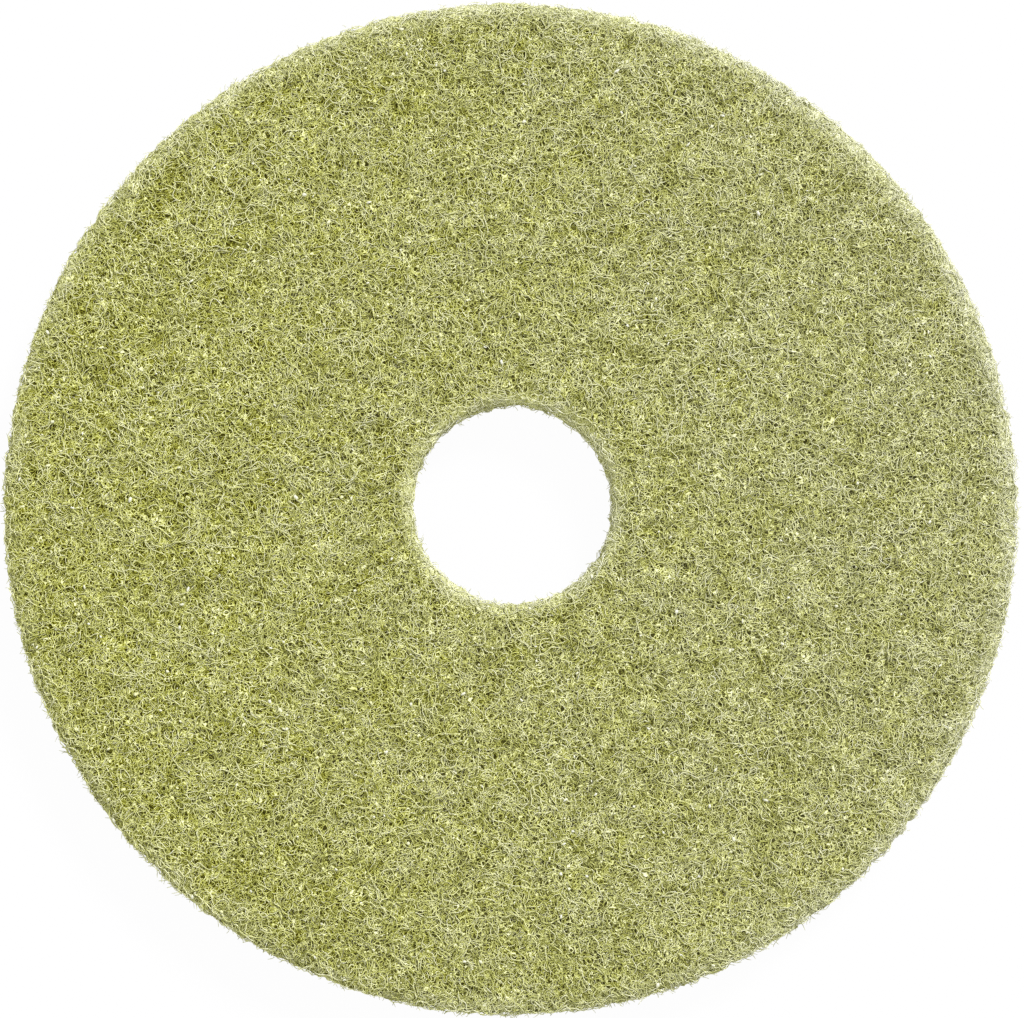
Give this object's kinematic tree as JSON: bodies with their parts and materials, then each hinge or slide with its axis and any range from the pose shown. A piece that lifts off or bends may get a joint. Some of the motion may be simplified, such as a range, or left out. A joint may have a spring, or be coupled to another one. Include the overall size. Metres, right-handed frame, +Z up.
{
  "type": "floor polishing pad",
  "caption": "Round non-woven fibre pad with a central hole, held under a rotary floor machine to polish hard floors.",
  "frame": {"origin": "centre of the face that lies on the floor", "axes": "+Z up along the pad's axis, out of the face that the pad driver grips; X and Y lie in the floor face and are alike, because the pad is round"},
  "size_m": [0.432, 0.432, 0.025],
  "materials": {
    "fibre_web": "open web of crimped, resin-bonded nylon fibres, pale yellow-green, matt with small glints"
  },
  "bodies": {
    "root": {"polishing_pad": "fibre_web"}
  },
  "joints": []
}
